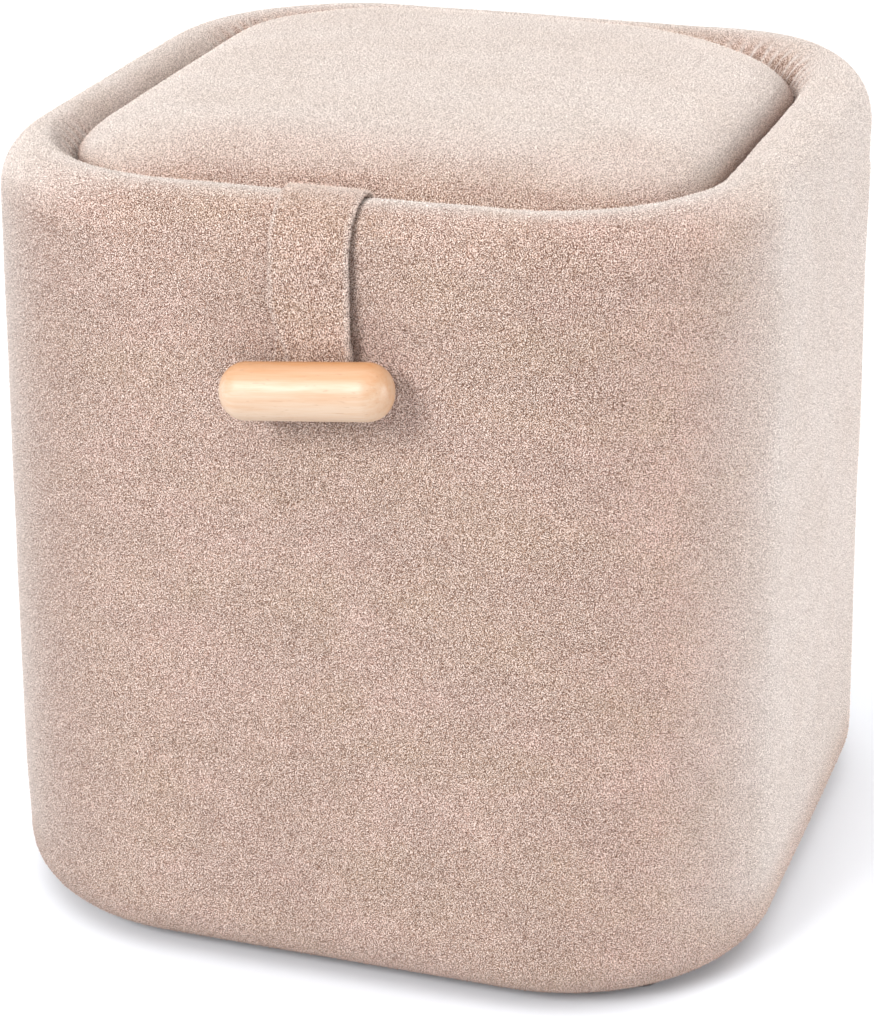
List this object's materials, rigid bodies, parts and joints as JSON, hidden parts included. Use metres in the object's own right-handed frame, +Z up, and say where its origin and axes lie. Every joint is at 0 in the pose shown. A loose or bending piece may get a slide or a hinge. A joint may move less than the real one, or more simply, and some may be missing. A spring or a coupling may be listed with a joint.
{
  "type": "cube pouf stool",
  "caption": "Square fleece-covered pouf stool with round corners, padded rim, domed lift-off seat lid and a strap with a wooden toggle to pull it by",
  "frame": {"origin": "on the floor, under the middle of the whole pouf with its toggle; the box's own middle is 13.4 mm behind it", "axes": "+Z up, the front with the strap and toggle faces -Y, +X to the right seen from the front"},
  "size_m": [0.3854, 0.4122, 0.4022],
  "materials": {
    "fleece": "short-pile fleece, beige pink, brushed in soft patches",
    "base": "dark non-woven cloth on board",
    "glide": "black moulded plastic",
    "beech": "turned beech, satin lacquer, grain along its length"
  },
  "bodies": {
    "box": {"box_cover": "fleece", "base_panel": "base", "glide_front_left": "glide", "glide_front_right": "glide", "glide_back_left": "glide", "glide_back_right": "glide"},
    "lid": {"seat_pad": "fleece", "pull_strap": "fleece", "toggle": "beech"}
  },
  "joints": [
    {"name": "lid_lift", "type": "slide", "parent": "box", "child": "lid", "axis": [0, 0, 1], "range_m": [0, 0.15]}
  ]
}
